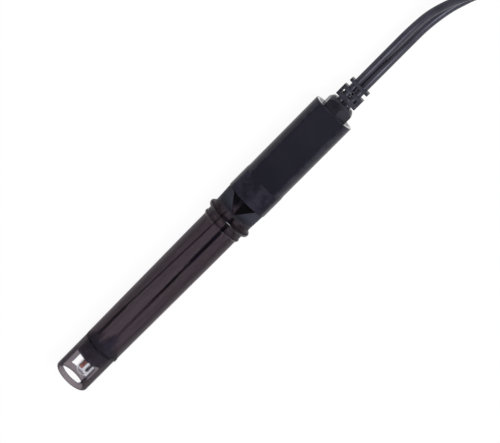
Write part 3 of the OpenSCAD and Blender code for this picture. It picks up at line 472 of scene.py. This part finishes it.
# Cap and gland nut. A black cap closes the head's end, and the chamfered hexagon nut that
# grips the cords screws onto it. Both are moulded in glass-filled nylon.
# Filled nylon: blacker than the head, with crisper highlights on its chamfers.
wear(moulded("filled_nylon", "#1c1b21", "#25242b", 0.28, 0.2, 0.003, 0.35, 3), "cable_gland", "end_cap")

# Strain relief. A ribbed block of black elastomer moulded onto both cords, with slots that
# let it bend and show the cords inside.
# Moulded elastomer: softly black, with wide, dim highlights along the ribs.
wear(moulded("relief_elastomer", "#1f1e24", "#28272d", 0.4, 0.2, 0.004, 0.35, 3), "strain_relief")


# Cords. Two round signal cords with flexible black jackets, extruded over their cores.
# They leave the strain relief side by side, and the length that isn't in use is folded
# into two flat hanks, one on the other, in line with the probe.
cord_d = 3.1
cord_r = cord_d / 2
exit_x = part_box("strain_relief")[1].x / MM
cord_off = 1.54
hank_x, hank_y, hank_run = 145, 4.85, 62
fold_r, loop_step, layer_step, layers = 9.3, 3.75, 3.65, 4
fold_out_r = fold_r + loop_step
waist_in, waist_lift = 4, 1.25 / 0.9
run_steps, fold_steps, curve_steps = 10, 14, 4
back_step = run_steps + fold_steps
loop_steps = 2 * back_step
hank_low_y = hank_y - fold_out_r


def run_point(x, side, r, k, z):
    """A point on a hank's straight run, drawn in and lifted at the waist."""
    drawn = math.sin(math.pi * k / run_steps) ** 2
    return Vector((x, hank_y + side * (r - waist_in * drawn), z + waist_lift * drawn))


def fold_point(x, r, turn, z):
    """A point on the fold at a hank's end."""
    return Vector((x + r * math.cos(turn), hank_y + r * math.sin(turn), z))


def loop_point(z0, layer, k):
    """A point on one loop of a hank. Loops go inwards and outwards by turns, and climb."""
    share = max(0, k - run_steps) / (loop_steps - run_steps)
    r = fold_out_r - loop_step * share if layer % 2 == 0 else fold_r + loop_step * share
    climb = 0 if layer == 0 else layer - 1 + (1 - math.cos(math.pi * min(1, k / run_steps))) / 2
    z = z0 + layer_step * climb
    if k <= run_steps:
        return run_point(hank_x + hank_run * k / run_steps, -1, r, k, z)
    if k <= back_step:
        return fold_point(hank_x + hank_run, r, math.pi * ((k - run_steps) / fold_steps - 0.5), z)
    if k <= back_step + run_steps:
        return run_point(hank_x + hank_run * (1 - (k - back_step) / run_steps), 1, r, k - back_step, z)
    return fold_point(hank_x, r, math.pi * ((k - back_step - run_steps) / fold_steps + 0.5), z)


def hank_points(z0):
    """All of one hank, from its lowest loop to the run that leaves it at the top."""
    top = z0 + (layers - 1) * layer_step
    loops = [loop_point(z0, layer, k) for layer in range(layers) for k in range(loop_steps)]
    last = [
        run_point(hank_x + hank_run * k / run_steps, -1, fold_out_r, k, top) for k in range(run_steps + 1)]
    return loops + last


def rounded_route(points, steps):
    """Points on a smooth curve through the given ones, which doesn't swing out past them."""
    gaps = [(b - a).length for a, b in zip(points, points[1:])]
    slopes = [(b - a) / gap for a, b, gap in zip(points, points[1:], gaps)]
    headings = [slopes[0]]
    for before, after in zip(slopes, slopes[1:]):
        headings.append(Vector([
            0 if p * q <= 0 else math.copysign(min(abs(p + q) / 2, 3 * abs(p), 3 * abs(q)), p)
            for p, q in zip(before, after)]))
    headings.append(slopes[-1])
    route = []
    for a, b, gap, leave, arrive in zip(points, points[1:], gaps, headings, headings[1:]):
        for i in range(steps):
            t = i / steps
            swing = gap * t * (1 - t) * ((1 - t) * leave - t * arrive)
            route.append(a + (b - a) * t * t * (3 - 2 * t) + swing)
    return route + [points[-1]]


def free_stretch(first, points, last):
    """A stretch with one straight cord diameter at each end."""
    straight = Vector((cord_d, 0, 0))
    return [first, first + straight] + [Vector(p) for p in points] + [last - straight, last]


def lay_cord(name, side, z0, out_points, plug_place, end_points):
    """One cord, from the relief through its hank to its plug."""
    straight = Vector((cord_d, 0, 0))
    first = Vector((exit_x, side * cord_off, axis_z))
    start = Vector((hank_x, hank_low_y, z0)) - straight
    finish = Vector((hank_x + hank_run, hank_low_y, z0 + (layers - 1) * layer_step)) + straight
    knots = free_stretch(first, out_points, start) + hank_points(z0)
    route = rounded_route(knots + free_stretch(finish, end_points, Vector(plug_place)), curve_steps)
    line = bpy.data.curves.new(name, "CURVE")
    line.dimensions = "3D"
    line.bevel_depth = cord_r * MM
    line.bevel_resolution = 8
    line.use_fill_caps = True
    spline = line.splines.new("POLY")
    spline.points.add(len(route) - 1)
    for point, place in zip(spline.points, route):
        point.co = (*(place * MM), 1)
    spline.use_smooth = True
    made = bpy.data.objects.new(name, line)
    bpy.context.scene.collection.objects.link(made)
    return made


# Extruded jacket: charcoal rather than black, with a long soft highlight on each cord.
cord_jacket = moulded("pvc_cord_jacket", "#2e2d35", "#37363f", 0.38, 0.3, 0.003, 0.4, 6)
wear(cord_jacket, "cord_tails")
bnc_axis = (229, -2.4, 7.55)
phono_axis = (246, 12, 5.1)
ph_cord = lay_cord("ph_cord_line", -1, cord_r, [
    (92, -cord_off, 9.2), (100, -cord_off, 7.2), (108, -cord_off, 4.7), (116, -2, 2.7), (124, -3.4, 1.8),
    (131, -5.6, 1.6),
], bnc_axis, [(217, -7.3, 11.6), (221, -5.2, 9.6)])
temp_cord = lay_cord("temp_cord_line", 1, cord_r + layers * layer_step, [
    (93, cord_off, 9.5), (101, cord_off, 9.1), (109, 1.4, 9.2), (117, 0.6, 10.2), (124, -1.4, 11.9),
    (130, -4, 13.8),
], phono_axis, [
    (218, -7, 26), (222, -4.4, 23.6), (226, -0.8, 20), (229.5, 3, 16), (233, 6.6, 12), (236, 9.3, 8.7),
    (239, 11.2, 6.3),
])
for cord in (ph_cord, temp_cord):
    cord.data.materials.append(cord_jacket)
    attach(cord, "probe")
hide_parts("ph_cord", "ph_hank", "ph_cord_end")
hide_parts("temp_cord", "temp_hank", "temp_cord_end")

# Hank strap. A woven hook-and-loop strap runs once round both hanks at their waist, through
# a moulded slide buckle, and its end is turned back and pressed down on itself.
strap_x, strap_w, strap_t = hank_x + hank_run / 2, 4.5, 0.9
strap_low, strap_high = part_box("hank_tie")
strap_mid_y = (strap_low.y + strap_high.y) / 2 / MM
buckle_room, strap_corner_r = 2, 1.6
strap_top = strap_high.z / MM - buckle_room
strap_wide = (strap_high.y - strap_low.y) / MM
strap_base = strap_low.z / MM
flap_len, flap_t, flap_off, flap_gap = 11, 0.8, 2.2, 0.02
curl_from, curl_lift = 0.75, 2
buckle_len, buckle_off, buckle_over, buckle_gap = 4.2, 3.4, 1, 0.05
buckle_high, buckle_rim, buckle_sink, buckle_round = 1.8, 0.9, 0.9, 0.3


def finish_piece(piece, made):
    """Puts a modelled piece's place in its mesh and gives it its finish and its body."""
    bpy.ops.object.select_all(action="DESELECT")
    piece.select_set(True)
    bpy.context.view_layer.objects.active = piece
    bpy.ops.object.transform_apply(location=True, rotation=True, scale=True)
    piece.data.materials.append(made)
    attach(piece, "probe")


def thicken(piece, thickness, offset, round_mm):
    """Gives a sheet its thickness and soft edges."""
    bpy.context.view_layer.objects.active = piece
    wall = piece.modifiers.new("wall", "SOLIDIFY")
    wall.thickness = thickness * MM
    wall.offset = offset
    soft = piece.modifiers.new("soft", "BEVEL")
    soft.width = round_mm * MM
    soft.segments = 2
    soft.limit_method = "ANGLE"
    for name in ("wall", "soft"):
        bpy.ops.object.modifier_apply(modifier=name)


bpy.ops.object.select_all(action="DESELECT")
bpy.ops.mesh.primitive_plane_add(
    size=1, rotation=(0, math.pi / 2, 0),
    location=((strap_x - strap_w / 2) * MM, strap_mid_y * MM, (strap_base + strap_top) / 2 * MM))
strap = bpy.context.object
strap.name = "hank_strap"
strap.scale = ((strap_top - strap_base) * MM, strap_wide * MM, 1)
bpy.ops.object.transform_apply(location=False, rotation=True, scale=True)
bpy.ops.object.mode_set(mode="EDIT")
bpy.ops.mesh.select_all(action="SELECT")
bpy.ops.mesh.bevel(offset=strap_corner_r * MM, segments=6, affect="VERTICES")
bpy.ops.mesh.delete(type="ONLY_FACE")
bpy.ops.mesh.select_all(action="SELECT")
bpy.ops.mesh.extrude_edges_move(TRANSFORM_OT_translate={"value": (strap_w * MM, 0, 0)})
bpy.ops.mesh.select_all(action="SELECT")
bpy.ops.mesh.normals_make_consistent(inside=False)
bpy.ops.object.mode_set(mode="OBJECT")
thicken(strap, strap_t, -1, 0.15)

bpy.ops.object.select_all(action="DESELECT")
bpy.ops.mesh.primitive_grid_add(x_subdivisions=2, y_subdivisions=12, size=1)
flap = bpy.context.object
flap.scale = (strap_w * MM, flap_len * MM, 1)
flap.location = (strap_x * MM, (strap_mid_y + flap_off) * MM, (strap_top + flap_gap) * MM)
bpy.ops.object.transform_apply(location=True, rotation=False, scale=True)
flap_low = (strap_mid_y + flap_off - flap_len / 2) * MM
for corner in flap.data.vertices:
    share = (corner.co.y - flap_low) / (flap_len * MM)
    corner.co.z += curl_lift * max(0, share - curl_from) ** 1.5 * MM
thicken(flap, flap_t, 1, 0.12)
bpy.ops.object.select_all(action="DESELECT")
flap.select_set(True)
strap.select_set(True)
bpy.context.view_layer.objects.active = strap
bpy.ops.object.join()
bpy.ops.object.shade_smooth_by_angle(angle=smooth_angle)

# Woven tape: dull black with a fuzzy pile and greyer loop tips. The loops are drawn a little
# coarser than real ones, so that they show.
fabric, tree = blank("hook_and_loop_tape")
place = add(tree, "TexCoord", {}, {}).outputs["Object"]
loops = add(tree, "TexNoise", {}, {"Vector": place, "Scale": 1 / (0.18 * MM), "Detail": 6}).outputs["Fac"]
rows = add(tree, "TexVoronoi", {}, {"Vector": place, "Scale": 1 / (0.35 * MM)}).outputs["Distance"]
pile = add(tree, "Math", {"operation": "ADD"}, {0: loops, 1: rows}).outputs[0]
nap = add(tree, "Bump", {}, {"Height": pile, "Strength": 0.8, "Distance": 0.12 * MM})
fuzz = add(tree, "ValToRGB", {"stops": [(0.3, "#17171a"), (0.5, "#232327"), (0.72, "#3c3c42")]}, {
    "Fac": loops})
body = add(tree, "BsdfPrincipled", {}, {
    "Base Color": fuzz.outputs["Color"], "Roughness": 0.9, "Sheen Weight": 0.3, "Sheen Roughness": 0.5,
    "Normal": nap.outputs["Normal"]})
add(tree, "OutputMaterial", {}, {"Surface": body.outputs["BSDF"]})
finish_piece(strap, fabric)
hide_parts("hank_tie")

bpy.ops.object.select_all(action="DESELECT")
bpy.ops.mesh.primitive_plane_add(size=1)
buckle = bpy.context.object
buckle.name = "strap_buckle"
buckle.scale = ((strap_w + buckle_over) * MM, buckle_len * MM, 1)
buckle.location = (strap_x * MM, (strap_mid_y - buckle_off) * MM, (strap_top + buckle_gap) * MM)
bpy.ops.object.transform_apply(location=True, rotation=False, scale=True)
bpy.ops.object.mode_set(mode="EDIT")
bpy.ops.mesh.select_all(action="SELECT")
bpy.ops.mesh.extrude_region_move(TRANSFORM_OT_translate={"value": (0, 0, buckle_high * MM)})
bpy.ops.mesh.inset(thickness=buckle_rim * MM, depth=0)
bpy.ops.mesh.extrude_region_move(TRANSFORM_OT_translate={"value": (0, 0, -buckle_sink * MM)})
bpy.ops.mesh.select_all(action="SELECT")
bpy.ops.mesh.normals_make_consistent(inside=False)
bpy.ops.object.mode_set(mode="OBJECT")
round_off = buckle.modifiers.new("round", "BEVEL")
round_off.width = buckle_round * MM
round_off.segments = 3
bpy.context.view_layer.objects.active = buckle
bpy.ops.object.modifier_apply(modifier="round")
bpy.ops.object.shade_smooth_by_angle(angle=smooth_angle)
# Moulded nylon: black with a clean shine on its rounded rim.
buckle_nylon = moulded("buckle_nylon", "#1c1b20", "#25242a", 0.35, 0.2, 0.004, 0.4, 3)
finish_piece(buckle, buckle_nylon)

# Bayonet plug. A turned and nickel-plated body with a contact collar and a bayonet sleeve
# that turns on it, a white insulator round a gold-plated pin, and a black boot on the cord.
# Nickel plate on turned brass: warm silver with fine rings round the plug.
nickel = plated("nickel_plate", "#bdb9b2", "#d8d4cc", 0.22, 0.25, 4)
wear(nickel, "bnc_body", "bnc_sleeve")
wear(gold, "bnc_pin")
# Moulded insulator: off-white and waxy.
white_insulator = moulded("white_insulator", "#dedcd5", "#ebe9e3", 0.5, 0.3, 0.004)
wear(white_insulator, "bnc_insulator")
# Moulded silicone: brick red and matt.
wear(moulded("silicone_gasket", "#8f3a2e", "#9c4436", 0.6, 0.2, 0.008), "bnc_gasket")
# Moulded rubber: charcoal, with broad soft highlights on its rings.
boot_rubber = moulded("boot_rubber", "#232227", "#2c2b30", 0.5, 0.2, 0.008, 0.4, 3)
wear(boot_rubber, "bnc_boot")

# Phono plug. A nickel-plated outer contact with four slots, a centre pin in a white
# insulator, and a moulded black grip.
wear(nickel, "phono_ring", "phono_pin")
wear(white_insulator, "phono_insulator")
wear(boot_rubber, "phono_grip")

# Bench and light. A white bench of matt painted board that runs out of the picture, in a
# white room, lit softly by one lamp above.
bench_size, bench_white = 4, 0.94
bpy.ops.mesh.primitive_plane_add(size=bench_size)
bench = bpy.context.object
bench.name = "bench"
# Matt white paint: white to the eye and in reflections, with a faint shadow under the probe.
paper, tree = blank("white_bench")
ray = add(tree, "LightPath", {}, {}).outputs
seen = add(tree, "Math", {"operation": "MAXIMUM"}, {0: ray["Is Camera Ray"], 1: ray["Is Glossy Ray"]})
seen = add(tree, "Math", {"operation": "MAXIMUM"}, {0: seen.outputs[0], 1: ray["Is Transmission Ray"]})
share = add(tree, "Math", {"operation": "MULTIPLY"}, {0: seen.outputs[0], 1: bench_white})
matt = add(tree, "BsdfDiffuse", {}, {"Color": (0.9, 0.9, 0.9, 1)})
glow = add(tree, "Emission", {}, {"Color": (1, 1, 1, 1), "Strength": 1})
mixed = add(tree, "MixShader", {}, {0: share.outputs[0], 1: matt.outputs[0], 2: glow.outputs[0]})
add(tree, "OutputMaterial", {}, {"Surface": mixed.outputs[0]})
bench.data.materials.append(paper)

# The room is white to the eye, half as bright to the probe, and darker overhead in reflections.
room = bpy.data.worlds.new("room")
bpy.context.scene.world = room
room.use_nodes = True
tree = room.node_tree
tree.nodes.clear()
ray = add(tree, "LightPath", {}, {}).outputs
way = add(tree, "TexCoord", {}, {}).outputs["Generated"]
rise = add(tree, "SeparateXYZ", {}, {"Vector": way}).outputs["Z"]
walls = add(tree, "MapRange", {}, {
    "Value": rise, "From Min": 0.2, "From Max": 0.75, "To Min": 0.9, "To Max": 0.05})
seen = add(tree, "Math", {"operation": "MAXIMUM"}, {0: ray["Is Camera Ray"], 1: ray["Is Transmission Ray"]})
level = add(tree, "Mix", {}, {0: seen.outputs[0], 2: 0.5, 3: 1.0})
level = add(tree, "Mix", {}, {0: ray["Is Glossy Ray"], 2: level.outputs[0], 3: walls.outputs[0]})
sky = add(tree, "Background", {}, {"Color": (1, 1, 1, 1), "Strength": level.outputs[0]})
add(tree, "OutputWorld", {}, {"Surface": sky.outputs[0]})

bpy.ops.object.light_add(type="AREA", location=(0.22, -0.3, 0.82))
lamp = bpy.context.object
lamp.data.size = 0.35
lamp.data.energy = 7
lamp.rotation_euler = (Vector((0, 0, 0)) - lamp.location).to_track_quat("-Z", "Y").to_euler()
